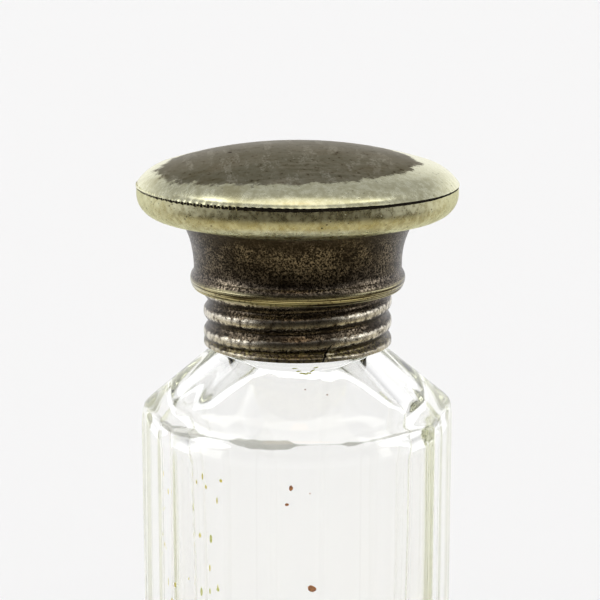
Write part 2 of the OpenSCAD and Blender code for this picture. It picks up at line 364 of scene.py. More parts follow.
def tarnish_patch(f, mottle, fine):
    """Share, colour and streaks of the brown patch on the crown, nearly round and ragged."""
    x, y, _ = f.split(f.place)
    aside = f.math("POWER", f.math("ADD", x, 0.8), 2.0)
    ahead = f.math("POWER", f.math("MULTIPLY", f.math("ADD", y, 3.9), 1.2), 2.0)
    edge = f.math("SQRT", f.math("ADD", aside, ahead))
    edge = f.math("ADD", edge, f.math("MULTIPLY", f.noise(0.3, 8, 0.78), 7.5))
    edge = f.math("ADD", edge, f.math("MULTIPLY", x, 0.05))
    rubbed = f.math("ADD", mottle, f.math("MULTIPLY", fine, 0.4))
    share = f.product(f.between(edge, 24.1, 23.2), f.between(rubbed, 0.48, 0.62, 1.0, 0.7))

    streak = f.noise(1.0, 7, 0.75, f.stretched((0.14, 1.0, 1.0)))
    cross = f.noise(1.6, 4, 0.7, f.stretched((1.0, 0.25, 1.0), (5.0, 3.0, 0.0)))
    wipe = f.noise(0.5, 3, 0.6, f.stretched((1.0, 0.2, 1.0), (2.0, 1.0, 0.0)))
    scratch = f.product(f.between(wipe, 0.54, 0.6), f.between(f.noise(3.0, 4, 0.7), 0.48, 0.56), 0.6)
    brown = f.blend(f.between(streak, 0.3, 0.68), (0.008, 0.005, 0.004), (0.17, 0.138, 0.115))
    brown = f.blend(f.between(cross, 0.56, 0.68, 0, 0.5), brown, (0.27, 0.255, 0.215))
    brown = f.blend(f.between(f.noise(0.16, 3, 0.5), 0.46, 0.6, 0, 0.6), brown, (0.03, 0.022, 0.018))
    return share, f.blend(scratch, brown, (0.5, 0.48, 0.42)), streak


def pit_row(f, z):
    """Row of pits low on the left of the rim."""
    turn = f.angle()
    return f.product(f.between(turn, -1.5, -1.25), f.between(turn, -0.75, -0.95),
                     f.near(z, pan_top_z - 2.6, 0.75, 0.45))


def worn_plate(name, crown):
    """Pale brassy plate, polished by handling and pitted. The crown has a tarnish patch as well."""
    f = Finish(name)
    mottle = f.noise(1.0, 5, 0.65)
    fine = f.noise(5.5, 4, 0.7)
    plate = f.blend(f.between(mottle, 0.36, 0.66), (0.56, 0.54, 0.35), (0.72, 0.71, 0.51))
    plate = f.blend(f.between(f.noise(0.14, 4, 0.6), 0.5, 0.68, 0, 0.6), plate, (0.42, 0.38, 0.2))
    spotty = f.between(f.noise(0.3, 3, 0.6), 0.52, 0.6)
    if crown:
        patch, brown, streak = tarnish_patch(f, mottle, fine)
        plate = f.blend(patch, plate, brown)
        gloss = f.blend(patch, f.between(mottle, 0.3, 0.75, 0.2, 0.3),
                        f.between(streak, 0.3, 0.7, 0.3, 0.46), "FLOAT")
        spotty = f.math("MULTIPLY", spotty, 0.8)
        f.set(Specular_Tint=f.blend(patch, (1.0, 1.0, 0.94), (0.25, 0.215, 0.195)))
    else:
        _, _, z = f.split(f.place)
        spotty = f.math("MAXIMUM", spotty, pit_row(f, z))
        dull = f.product(f.between(z, pan_top_z - 0.6, pan_top_z - 2.4),
                         f.between(f.noise(0.7, 5, 0.7), 0.42, 0.62, 0.0, 0.6))
        plate = f.blend(dull, plate, (0.33, 0.29, 0.15))
        gloss = f.between(mottle, 0.3, 0.75, 0.22, 0.42)
        f.set(Specular_Tint=(0.9, 0.9, 0.7))
    pits = f.math("MULTIPLY", f.between(f.cells(1.15), 0.2, 0.1), spotty)
    colour = f.blend(f.math("MULTIPLY", pits, 0.9), plate, (0.05, 0.038, 0.015))
    relief = f.math("ADD", f.math("MULTIPLY", mottle, 0.5), f.math("MULTIPLY", fine, 0.08))
    relief = f.math("SUBTRACT", relief, f.math("MULTIPLY", pits, 4.0))
    return f.set(Base_Color=colour, Metallic=1.0, Roughness=gloss, Normal=f.bump(relief, 0.008))


def rubbed_brass(f, lines):
    """Colour of brass rubbed bare on a crest, with dirt in its turned lines."""
    colour = f.blend(f.between(lines, 0.42, 0.58), (0.05, 0.036, 0.018), (0.66, 0.61, 0.38))
    return f.blend(f.between(f.noise(1.8, 4, 0.7), 0.52, 0.66, 0, 0.8), colour, (0.07, 0.052, 0.03))


def dark_plate(name, brown_light, crest_wear_and_highlight_colour, wear_from, wear_to, wear_top):
    """Dark speckled tarnish with fine turning lines, worn where the radius is large, and darker under the
    ceiling as painted shade.

    The wear stays under the height wear_top. Without a crest colour it bares the brass. With one it is weak
    in front and strong at the sides, partly real wear and partly painted highlight where the side lights
    glint.
    """
    f = Finish(name)
    _, _, z = f.split(f.place)
    speck = f.noise(3.4, 6, 0.75)
    blots = f.noise(1.1, 5, 0.7)
    cloud = f.noise(0.22, 4, 0.6)
    lines = f.noise(3.4, 3, 0.6, f.stretched((0.03, 0.03, 1.5)))
    turned_lines = f.noise(3.0, 2, 0.6, f.stretched((0.02, 0.02, 2.2), (0, 0, 7.0)))
    brown = f.blend(f.between(speck, 0.46, 0.58), (0.006, 0.004, 0.002), brown_light)
    brown = f.blend(f.between(lines, 0.54, 0.7, 0, 0.35), brown, (0.34, 0.29, 0.22))
    brown = f.blend(f.between(blots, 0.5, 0.62, 0, 0.85), brown, (0.012, 0.009, 0.006))
    brown = f.blend(f.between(cloud, 0.48, 0.62, 0, 0.7), brown, (0.018, 0.013, 0.009))
    # Painted shade: darker just under the pan's ceiling, where the overhang shades the skirt.
    brown = f.blend(f.between(z, ceiling_z - 2.4, ceiling_z - 0.4, 0, 0.7), brown, (0.03, 0.022, 0.012))
    worn = f.math("ADD", f.radius(), f.math("MULTIPLY", f.math("SUBTRACT", blots, 0.5), 0.9))
    worn = f.product(f.between(worn, wear_from, wear_to), f.between(z, wear_top + 0.3, wear_top - 0.3))
    if crest_wear_and_highlight_colour:
        # Painted highlight: the pale crest colour is kept weak in front and strong at the sides, where the
        # side lights glint.
        aside = f.math("ABSOLUTE", f.math("ADD", f.angle(), 0.05))
        worn = f.math("MULTIPLY", worn, f.between(aside, 0.25, 0.6, 0.2, 0.9))
        colour = f.blend(worn, brown, crest_wear_and_highlight_colour)
    else:
        colour = f.blend(worn, brown, rubbed_brass(f, turned_lines))
    gloss = f.blend(worn, f.between(speck, 0.3, 0.7, 0.42, 0.24), 0.2, "FLOAT")
    relief = f.math("ADD", f.math("MULTIPLY", speck, 0.6), f.math("MULTIPLY", lines, 0.4))
    relief = f.math("ADD", relief, f.product(worn, turned_lines, 1.2))
    return f, colour, gloss, relief


def skirt_finish():
    f, colour, gloss, relief = dark_plate("skirt_tarnish", (0.25, 0.205, 0.155), None,
                                          16.35, 16.6, bead_c[1] + 0.35)
    return f.set(Base_Color=colour, Metallic=1.0, Roughness=gloss, Normal=f.bump(relief, 0.03))


# Small split in the collar: its angle from the front, and its lean sideways per mm of height
SPLIT_TURN = math.radians(11)
SPLIT_LEAN = 0.55


def collar_finish():
    """As the skirt, with crusted dirt, a small split at the lower edge, and pale crests that are partly
    painted highlight.
    """
    f, colour, gloss, relief = dark_plate("collar_tarnish", (0.16, 0.128, 0.093), (0.85, 0.79, 0.66),
                                          14.64, 14.9, collar_top_z + 1)
    _, _, z = f.split(f.place)
    up = f.math("SUBTRACT", z, collar_z)
    crust = f.product(f.between(up, 2.6, 1.0), f.between(f.noise(2.2, 5, 0.7), 0.48, 0.58, 0, 0.7))
    colour = f.blend(crust, colour, (0.2, 0.17, 0.08))
    along = f.math("MULTIPLY", f.math("SUBTRACT", f.angle(), SPLIT_TURN), crest_r)
    wander = f.math("MULTIPLY", f.math("SUBTRACT", f.noise(1.3, 2, 0.5), 0.5), 0.8)
    path = f.math("ADD", f.math("SUBTRACT", along, f.math("MULTIPLY", up, SPLIT_LEAN)), wander)
    crack = f.product(f.near(path, 0.0, 0.2, 0.09), f.between(up, 2.9, 2.3))
    scuff = f.product(f.near(path, 0.9, 0.9, 0.3), f.between(up, 2.3, 1.6),
                      f.between(f.noise(2.6, 4, 0.7), 0.46, 0.54))
    colour = f.blend(scuff, colour, (0.62, 0.57, 0.42))
    colour = f.blend(crack, colour, (0.005, 0.004, 0.003))
    relief = f.math("SUBTRACT", relief, f.math("MULTIPLY", crack, 5.0))
    return f.set(Base_Color=colour, Metallic=1.0, Roughness=gloss, Normal=f.bump(relief, 0.03))


def bare_brass(name):
    """Brass rubbed bare, with dirt left in its turned lines."""
    f = Finish(name)
    lines = f.noise(3.0, 2, 0.6, f.stretched((0.02, 0.02, 2.2), (0, 0, 7.0)))
    return f.set(Base_Color=rubbed_brass(f, lines), Metallic=1.0, Roughness=0.3, Normal=f.bump(lines, 0.04))


def seam_dirt(name):
    """Black polish and dirt packed in the seam."""
    f = Finish(name)
    crumbs = f.noise(4.0, 4, 0.7)
    colour = f.blend(f.between(crumbs, 0.5, 0.7), (0.006, 0.004, 0.002), (0.03, 0.024, 0.014))
    return f.set(Base_Color=colour, Roughness=0.9, Specular_IOR_Level=0.1, Normal=f.bump(crumbs, 0.05))


def grey_solder(name):
    f = Finish(name)
    lumps = f.noise(1.4, 3, 0.5)
    colour = f.blend(f.between(lumps, 0.3, 0.7), (0.3, 0.3, 0.29), (0.55, 0.55, 0.53))
    return f.set(Base_Color=colour, Metallic=1.0, Roughness=0.5, Normal=f.bump(lumps, 0.08))


def old_plaster(name):
    """Fixing plaster, stained brown and green by the metal."""
    f = Finish(name)
    stain = f.noise(0.6, 4, 0.6)
    grain = f.noise(5.0, 3, 0.6)
    colour = f.blend(f.between(stain, 0.35, 0.65), (0.16, 0.12, 0.06), (0.42, 0.4, 0.22))
    return f.set(Base_Color=colour, Roughness=0.9, Normal=f.bump(grain, 0.08))


def squeezed_cork(name):
    """Fine cork with dark pores."""
    f = Finish(name)
    grain = f.noise(1.3, 5, 0.65)
    pores = f.between(f.cells(0.7), 0.2, 0.06)
    colour = f.blend(f.between(grain, 0.3, 0.7), (0.36, 0.21, 0.1), (0.62, 0.43, 0.25))
    colour = f.blend(pores, colour, (0.12, 0.06, 0.03))
    relief = f.math("SUBTRACT", grain, pores)
    return f.set(Base_Color=colour, Roughness=0.85, Normal=f.bump(relief, 0.15))


def clear_glass(name):
    """Old clear glass: a faint olive tint in its depth, rubbed haze here and there, and a painted dark line
    of shade along the front of the shoulder's lower edge.
    """
    f = Finish(name)
    haze = f.between(f.noise(0.35, 4, 0.6), 0.5, 0.8, 0.0, 0.06)
    scuff = f.noise(1.2, 4, 0.7)
    _, _, z = f.split(f.place)
    # Painted shade: a dark wavy line on the front only, along the shoulder's lower edge, in place of the dark
    # refractions there.
    along = f.noise(0.13, 2, 0.5, f.stretched((1.0, 1.0, 0.1), (9.0, 4.0, 0.0)))
    painted_edge_shade = f.math("ABSOLUTE", f.math("SUBTRACT", z, BODY_H - 0.15))
    thick = f.between(along, 0.4, 0.7, 0.0, 0.7)
    painted_edge_shade = f.between(f.math("SUBTRACT", painted_edge_shade, thick), 0.12, -0.12)
    painted_edge_shade = f.product(painted_edge_shade, f.near(f.angle(), 0.0, 1.35, 1.1), f.between(f.radius(), 21.0, 22.0))
    colour = f.blend(painted_edge_shade, (1.0, 1.0, 1.0), (0.3, 0.3, 0.26))
    material = f.set(Base_Color=colour, Roughness=haze, Normal=f.bump(scuff, 0.002), IOR=1.52,
                     Transmission_Weight=1.0)
    depth = f.node("ShaderNodeVolumeAbsorption", Color=(0.9, 0.92, 0.62), Density=7.0)
    f.put(f.tree.nodes["Material Output"].inputs["Volume"], depth.outputs["Volume"])
    return material


def dried_residue(name, dark, light):
    f = Finish(name)
    crust = f.noise(3.0, 4, 0.7)
    colour = f.blend(f.between(crust, 0.35, 0.65), dark, light)
    return f.set(Base_Color=colour, Roughness=0.7, Normal=f.bump(crust, 0.1))


MATERIALS = {
    "glass": clear_glass("cut_glass"),
    "crown": worn_plate("crown_plate", True),
    "pan": worn_plate("rim_plate", False),
    "skirt": skirt_finish(),
    "collar": collar_finish(),
    "dirt": seam_dirt("seam_dirt"),
    "brass": bare_brass("rubbed_brass"),
    "solder": grey_solder("soft_solder"),
    "plaster": old_plaster("stained_plaster"),
    "cork": squeezed_cork("cork"),
    "green": dried_residue("green_crust", (0.6, 0.62, 0.08), (0.82, 0.85, 0.3)),
    "rust": dried_residue("rust_speck", (0.22, 0.05, 0.002), (0.6, 0.2, 0.008)),
    "yellow": dried_residue("yellow_speck", (0.8, 0.62, 0.03), (0.93, 0.85, 0.2)),
}


# ---------------------------------------------------------------- mesh building
def arc(centre, radius, start, end, steps):
    """Points (r, z) of an arc between two angles in degrees, both ends included."""
    turns = np.radians(np.linspace(start, end, steps + 1))
    return [(centre[0] + radius * math.cos(t), centre[1] + radius * math.sin(t)) for t in turns]


def line(a, b, steps):
    """Points (r, z) of a straight stretch, without its first point."""
    return [(a[0] + (b[0] - a[0]) * i / steps, a[1] + (b[1] - a[1]) * i / steps)
            for i in range(1, steps + 1)]


def skin(name, rows, poles, material, smooth_angle=40):
    """Closed mesh through rows of points in mm, each row a ring round the jar.

    With poles the first and the last row close to a point; without, the last row joins the
    first, as on a tube with two walls.
    """
    rows = np.asarray(rows, float)
    count, columns = rows.shape[:2]
    points, index = [], np.zeros((count, columns), int)
    for j in range(count):
        if poles and j in (0, count - 1):
            index[j] = len(points)
            points.append(rows[j].mean(0) * MM)
        else:
            index[j] = np.arange(columns) + len(points)
            points.extend(rows[j] * MM)
    faces = []
    for j in range(count - 1 if poles else count):
        below, above = index[j], index[(j + 1) % count]
        for i in range(columns):
            k = (i + 1) % columns
            face = [below[i], below[k], above[k], above[i]]
            faces.append([int(v) for n, v in enumerate(face) if v != face[n - 1]])
    mesh = new_mesh(name, [tuple(p) for p in points], faces, material)
    tidy = bmesh.new()
    tidy.from_mesh(mesh)
    bmesh.ops.recalc_face_normals(tidy, faces=tidy.faces)
    tidy.to_mesh(mesh)
    tidy.free()
    mesh.shade_smooth()
    mesh.set_sharp_from_angle(angle=math.radians(smooth_angle))
    return linked(name, mesh)


def round_row(radius, turns, height):
    """Points round the axis. Radius and height are one number, or one for each turn."""
    return np.stack([radius * np.cos(turns), radius * np.sin(turns), height + 0 * turns], axis=1)


def turned(profile, columns, shape=None):
    """Rows of a lathe-turned outline; shape(radius, turns, height) may press or dent it."""
    turns = np.linspace(0, 2 * math.pi, columns, endpoint=False)
    rows = []
    for r, z in profile:
        radius, height = shape(r, turns, z) if shape and r > 0 else (r, z)
        rows.append(round_row(radius, turns, height))
    return rows


def finish_piece(piece, body, slot, *nodes):
    """Rides the piece on its body and hides what it stands for. Its slot is not used."""
    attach(piece, body)
    if nodes:
        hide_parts(*nodes)


# ---------------------------------------------------------------- glass
APOTHEM = body_corner_r * math.cos(math.pi / FACETS)
BLANK_R = body_corner_r + 0.1
fillet_end_r = NECK_R + NECK_FILLET * (1 - math.sin(SHOULDER_SLOPE))
shoulder_top_z = BODY_H + (APOTHEM - fillet_end_r) * math.tan(SHOULDER_SLOPE)
neck_start_z = shoulder_top_z + NECK_FILLET * math.cos(SHOULDER_SLOPE)
hollow_r = APOTHEM - WALL
blank_eye_z = shoulder_top_z + BLANK_OVER - math.sqrt(
    SHOULDER_ROUND ** 2 - (fillet_end_r - BLANK_R + SHOULDER_ROUND) ** 2)
RIDGE_SOFTNESS = 0.1
SHOULDER_RIDGE_SOFTNESS = 0.5
SHOULDER_SOFTNESS = 0.25


def soft_least(values, softness):
    """Smallest of several surfaces, eased over a polished edge."""
    values = np.array(values)
    least = values.min(0)
    return least - softness * np.log(np.exp(-(values - least) / softness).sum(0))


def facet_turns():
    """Angles round the jar: many near each corner of the cut, few on the flats."""
    from_corner = [0, 0.2, 0.45, 0.8, 1.3, 2.2, 4, 7, 11, 15]
    turns = []
    for k in range(FACETS):
        corner = 360 / FACETS * k
        turns += [corner + d for d in from_corner] + [corner + 180 / FACETS]
        turns += [corner + 360 / FACETS - d for d in reversed(from_corner[1:])]
    return np.radians(turns)


def cut_distance(turns, origin_z, rise):
    """How far the glass body reaches from a point on the axis, along a ray at that rise."""
    flat, up = math.cos(rise), math.sin(rise)
    walls, shoulders = [], []
    s, c = math.sin(SHOULDER_SLOPE), math.cos(SHOULDER_SLOPE)
    for k in range(FACETS):
        lean = np.cos(turns - 2 * math.pi * (k + 0.5) / FACETS)
        walls.append(APOTHEM / np.maximum(lean * flat, 1e-6))
        slope = np.maximum(lean * flat * s + up * c, 1e-6)
        shoulders.append((APOTHEM * s + (BODY_H - origin_z) * c) / slope)
    surfaces = [soft_least(walls, RIDGE_SOFTNESS), soft_least(shoulders, SHOULDER_RIDGE_SOFTNESS)]
    blank = BLANK_R / max(flat, 1e-6)
    for round_r, level in ((SHOULDER_ROUND, blank_eye_z + SHOULDER_ROUND), (FOOT_ROUND, 0.0)):
        if (up > 0) == (level > origin_z) and abs(up) > 1e-6:
            centre_r = BLANK_R - round_r
            inside = round_r ** 2 - (centre_r * up) ** 2
            bulge = centre_r * flat + math.sqrt(max(inside, 0.0))
            on_arc = inside > 0 and bulge * flat >= centre_r
            blank = min(blank, bulge if on_arc else (level - origin_z) / up)
    surfaces.append(np.full(len(turns), blank))
    return soft_least(surfaces, SHOULDER_SOFTNESS)


def ray_row(turns, origin_z, rise):
    reach = cut_distance(turns, origin_z, rise)
    if rise > 0.3:
        reach = np.maximum(reach, neck_reach(origin_z, rise))
    return round_row(reach * math.cos(rise), turns, origin_z + reach * math.sin(rise))


def neck_reach(origin_z, rise):
    """Distance along a ray to the round blend between neck and shoulder."""
    blend = arc((NECK_R + NECK_FILLET, neck_start_z), NECK_FILLET,
                270 - math.degrees(SHOULDER_SLOPE), 180, 24)
    rises = [math.atan2(z - origin_z, r) for r, z in blend]
    reaches = [math.hypot(z - origin_z, r) for r, z in blend]
    return float(np.interp(rise, rises, reaches, left=0.0))


def hollow_slope_z(r):
    """Height of the hollow's sloping top at a distance r from the axis."""
    return (BODY_H + (APOTHEM - r) * math.tan(SHOULDER_SLOPE)
            - SHOULDER_WALL / math.cos(SHOULDER_SLOPE))


def hand_blown(radius, turns, height):
    """The hollow isn't quite round: slow ripples from blowing."""
    ripple = (0.10 * np.cos(2 * turns + 0.6 + height * 0.02) + 0.05 * np.cos(5 * turns - height * 0.05)
              + 0.05 * np.cos(3 * turns + height * 0.11))
    share = np.clip((radius - BORE_R) / 6, 0, 1)
    return radius + ripple * share, height


def make_glass():
    turns = facet_turns()
    punt_ball = (PUNT_R ** 2 + PUNT_DEPTH ** 2) / (2 * PUNT_DEPTH)
    rows = [round_row(0, turns, PUNT_DEPTH)]
    for r in np.linspace(1.5, PUNT_R, 10):
        rows.append(round_row(r, turns, PUNT_DEPTH - punt_ball + math.sqrt(punt_ball ** 2 - r ** 2)))
    for r in (15.5, 18.0):
        rows.append(round_row(r, turns, 0.0))
    for rise in np.radians([-8.6, -8.3, -8.1, -7.95, -7.8, -7.5, -7, -6, -5, -4, -3, -2, -1]):
        rows.append(ray_row(turns, FOOT_ROUND, rise))
    for z in np.concatenate([np.linspace(FOOT_ROUND, 60, 12), np.linspace(63, blank_eye_z, 8)]):
        rows.append(ray_row(turns, z, 0.0))
    top_rise = math.degrees(math.atan2(neck_start_z - blank_eye_z, NECK_R))
    rises = np.concatenate([np.arange(0.5, 9.5, 0.5), np.arange(9.5, 17, 0.2), np.arange(17, 38, 1.0),
                            np.arange(38, top_rise - 0.3, 0.6)])
    for rise in np.radians(rises):
        rows.append(ray_row(turns, blank_eye_z, rise))

    lip_c = lip_z - LIP_ROUND
    neck = [(NECK_R, neck_start_z)] + line((NECK_R, neck_start_z), (NECK_R, lip_c), 6)[:-1]
    neck += arc((NECK_R - LIP_ROUND, lip_c), LIP_ROUND, 0, 90, 8)
    neck += arc((BORE_R + LIP_ROUND, lip_c), LIP_ROUND, 90, 180, 8)
    lean = 90 - math.degrees(SHOULDER_SLOPE)
    top_r = hollow_r - HOLLOW_ROUND
    top_c = (top_r, hollow_slope_z(top_r) - HOLLOW_ROUND / math.cos(SHOULDER_SLOPE))
    throat_r = BORE_R + THROAT_ROUND
    throat_c = (throat_r, hollow_slope_z(throat_r) + THROAT_ROUND / math.cos(SHOULDER_SLOPE))
    throat = arc(throat_c, THROAT_ROUND, 180, 180 + lean, 8)
    top = arc(top_c, HOLLOW_ROUND, lean, 0, 18)
    neck += line((BORE_R, lip_c), throat[0], 8)[:-1] + throat + line(throat[-1], top[0], 8)[:-1] + top
    neck += line((hollow_r, top_c[1]), (hollow_r, BASE_T + FLOOR_ROUND), 30)[:-1]
    neck += arc((hollow_r - FLOOR_ROUND, BASE_T + FLOOR_ROUND), FLOOR_ROUND, 0, -90, 14)
    neck += line((hollow_r - FLOOR_ROUND, BASE_T), (1.0, BASE_T), 6)
    for r, z in neck:
        blown = z < lip_c - 1 and r < hollow_r + 0.1 and r != NECK_R
        radius, height = hand_blown(r, turns, z) if blown else (r, z)
        rows.append(round_row(radius, turns, height))
    rows.append(round_row(0, turns, BASE_T))
    glass = skin("cut_glass_jar", rows, True, MATERIALS["glass"], 60)
    finish_piece(glass, "jar", "clear_glass", "glass_jar")


make_glass()


# ---------------------------------------------------------------- geometry nodes
def new_tree(name, inputs):
    """Geometry tree with a geometry input and output and named number inputs."""
    tree = bpy.data.node_groups.new(name, "GeometryNodeTree")
    tree.interface.new_socket("Geometry", in_out="INPUT", socket_type="NodeSocketGeometry")
    for label, value in inputs.items():
        kind = "NodeSocketInt" if isinstance(value, int) else "NodeSocketFloat"
        socket = tree.interface.new_socket(label, in_out="INPUT", socket_type=kind)
        socket.default_value = value
    tree.interface.new_socket("Geometry", in_out="OUTPUT", socket_type="NodeSocketGeometry")
    return tree


class Growth(Wiring):
    """Short calls for building one geometry tree."""

    def __init__(self, name, inputs):
        super().__init__(new_tree(name, inputs))
        self.start = self.tree.nodes.new("NodeGroupInput")
        self.end = self.tree.nodes.new("NodeGroupOutput")

    def input(self, label):
        return self.start.outputs[label]

    def finish(self, geometry, material):
        """Realised instances with their material, sent to the output."""
        real = self.node("GeometryNodeRealizeInstances")
        self.put(real.inputs["Geometry"], geometry)
        paint = self.node("GeometryNodeSetMaterial")
        self.put(paint.inputs["Geometry"], real.outputs["Geometry"])
        paint.inputs["Material"].default_value = material
        self.put(self.end.inputs["Geometry"], paint.outputs["Geometry"])
        return self.tree


def grow(name, tree, values, start_mesh=None):
    """Runs a geometry tree with the given inputs and returns its result as a plain mesh object."""
    seed = linked(name, start_mesh or bpy.data.meshes.new(name + "_start"))
    modifier = seed.modifiers.new("grow", "NODES")
    modifier.node_group = tree
    for item in tree.interface.items_tree:
        if item.item_type == "SOCKET" and item.in_out == "INPUT" and item.name in values:
            modifier[item.identifier] = values[item.name]
    mesh = baked(seed)
    bpy.data.objects.remove(seed)
    mesh.name = name
    return linked(name, mesh)


# ---------------------------------------------------------------- threads
def thread_tree():
    """Tube of sheet metal with a rolled helical groove. Lengths are in mm."""
    t = Growth("rolled_thread", {
        "Crest Radius": 15.0, "Foot": 0.0, "Height": 10.0, "Pitch": 3.0, "Groove Depth": 0.7,
        "First Groove": 0.0, "Groove Power": 1.6, "Start": 0.0, "Run In": 0.9, "End": 100.0,
        "Sides": 240, "Rows": 100})
    tube = t.node("GeometryNodeMeshCylinder", {"fill_type": "NONE"}, Vertices=t.input("Sides"),
                  Side_Segments=t.input("Rows"), Radius=1.0, Depth=1.0)
    place = t.node("GeometryNodeInputPosition")
    x, y, along = t.split(place.outputs[0])
    turn = t.math("ARCTAN2", y, x)
    height = t.math("ADD", t.input("Foot"), t.math("MULTIPLY", t.math("ADD", along, 0.5), t.input("Height")))
    wave = t.math("DIVIDE", t.math("SUBTRACT", height, t.input("First Groove")), t.input("Pitch"))
    wave = t.math("COSINE", t.math("SUBTRACT", t.math("MULTIPLY", wave, 2 * math.pi), turn))
    wave = t.math("MULTIPLY", t.math("ADD", wave, 1.0), 0.5)
    wave = t.math("POWER", wave, t.input("Groove Power"))
    begin = t.between(height, t.input("Start"), t.math("ADD", t.input("Start"), t.input("Run In")))
    fade = t.between(height, t.input("End"), t.math("ADD", t.input("End"), t.input("Run In")))
    depth = t.math("MULTIPLY", t.math("MULTIPLY", wave, begin), t.math("SUBTRACT", 1.0, fade))
    radius = t.math("SUBTRACT", t.input("Crest Radius"), t.math("MULTIPLY", depth, t.input("Groove Depth")))
    put = t.node("ShaderNodeCombineXYZ", X=t.math("MULTIPLY", x, radius),
                 Y=t.math("MULTIPLY", y, radius), Z=height)
    scaled = t.node("ShaderNodeVectorMath", {"operation": "SCALE"}, Vector=put.outputs[0], Scale=MM)
    moved = t.node("GeometryNodeSetPosition", Geometry=tube.outputs["Mesh"], Position=scaled.outputs[0])
    return t, moved.outputs["Geometry"]


def make_thread(name, material, sheet, **values):
    """Threaded tube of that sheet thickness: positive goes inwards, negative outwards."""
    t, geometry = thread_tree()
    piece = grow(name, t.finish(geometry, material), values)
    thick = piece.modifiers.new("sheet", "SOLIDIFY")
    thick.thickness = abs(sheet) * MM
    thick.offset = -1 if sheet > 0 else 1
    thick.use_even_offset = True
    piece.data = baked(piece)
    piece.modifiers.clear()
    piece.data.shade_smooth()
    piece.data.set_sharp_from_angle(angle=math.radians(50))
    return piece


groove_z = collar_z + GROOVE_UP
THREAD = {"Pitch": PITCH, "Groove Depth": THREAD_DEPTH, "First Groove": groove_z,
          "Groove Power": GROOVE_POWER, "Run In": RUN_IN}
collar = make_thread("threaded_collar", MATERIALS["collar"], COLLAR_SHEET, **THREAD, **{
    "Crest Radius": crest_r, "Foot": collar_z, "Height": collar_top_z - collar_z,
    "Start": collar_z + COLLAR_PLAIN, "End": collar_top_z + 0.1})
finish_piece(collar, "jar", "collar_plate", "neck_collar")

sleeve_crest_r = crest_r + THREAD_CLEAR
sleeve = make_thread("threaded_sleeve", MATERIALS["brass"], -COLLAR_SHEET, **THREAD, **{
    "Crest Radius": sleeve_crest_r, "Foot": sleeve_z, "Height": sleeve_top_z - sleeve_z,
    "Start": sleeve_z, "End": sleeve_top_z - RUN_IN})
finish_piece(sleeve, "cap", "bare_brass", "thread_sleeve")


# ---------------------------------------------------------------- cap shells
def circle_meet(a, ra, b, rb):
    """Outer meeting point of the circle of radius ra about a and that of radius rb about b."""
    a, b = np.array(a, float), np.array(b, float)
    d = np.linalg.norm(b - a)
    u = (b - a) / d
    x = (ra * ra - rb * rb + d * d) / (2 * d)
    h = math.sqrt(ra * ra - x * x)
    return tuple(a + x * u + h * np.array([-u[1], u[0]]))


crown_c = (0.0, apex_z - CROWN_ROUND)
roll_c = circle_meet(crown_c, CROWN_ROUND - ROLL_ROUND, (dome_edge_r, seam_z), ROLL_ROUND)


def dome_outline(inset, crown_steps, roll_steps):
    """From the apex out to the seam."""
    join = 90 - math.degrees(math.atan2(roll_c[0] - crown_c[0], roll_c[1] - crown_c[1]))
    end = math.degrees(math.asin((seam_z - roll_c[1]) / (ROLL_ROUND - inset)))
    crown = arc(crown_c, CROWN_ROUND - inset, 90, join, crown_steps)
    return crown + arc(roll_c, ROLL_ROUND - inset, join, end, roll_steps)[1:]


def dents(seed, count, r_range, size_range, depth):
    """Shallow dents at random places on a ring of the cap, pressed towards the axis and down."""
    rng = np.random.default_rng(seed)
    spots = [(rng.uniform(0, 2 * math.pi), rng.uniform(*r_range), rng.uniform(*size_range),
              rng.uniform(0.4, 1.0) * depth) for _ in range(count)]

    def press(radius, turns, height):
        push = np.zeros(len(turns))
        for turn, r, size, deep in spots:
            away = (turns - turn + math.pi) % (2 * math.pi) - math.pi
            push += deep * np.exp(-((away * r) ** 2 + (radius - r) ** 2) / (2 * size ** 2))
        return radius - push * 0.5, height - push * 0.8
    return press


def ragged(turns, seed):
    """Share from 0 to 1 of an edge that time has nibbled, more on the left of the front."""
    rng = np.random.default_rng(seed)
    wave = sum(np.cos(turns * k + rng.uniform(0, 2 * math.pi)) / math.sqrt(k) for k in (3, 7, 13, 29, 53, 97))
    front_left = np.exp(-((turns - math.radians(222)) / 0.7) ** 2)
    return np.clip(0.45 + 0.22 * wave + 0.3 * front_left * np.sign(np.cos(turns * 130)), 0, 1)


def make_dome():
    outside = dome_outline(0, 36, 26)
    inside = dome_outline(SHELL_SHEET, 14, 12)[::-1]
    profile = outside + inside
    worn = dents(7, 16, (6, 24), (0.7, 2.4), 0.05)

    def rough_edge(radius, turns, height):
        radius, height = worn(radius, turns, height)
        share = np.clip(1 - (height - seam_z) / 0.7, 0, 1)
        front = np.exp(-((turns - math.radians(270)) / 1.0) ** 2)
        return radius, height + share * (0.22 * front + 0.2 * (0.2 + front) * ragged(turns, 3))

    rows = turned(profile, 720, rough_edge)
    finish_piece(skin("crown_shell", rows, True, MATERIALS["crown"], 45), "cap", "cap_plate", "cap_dome")


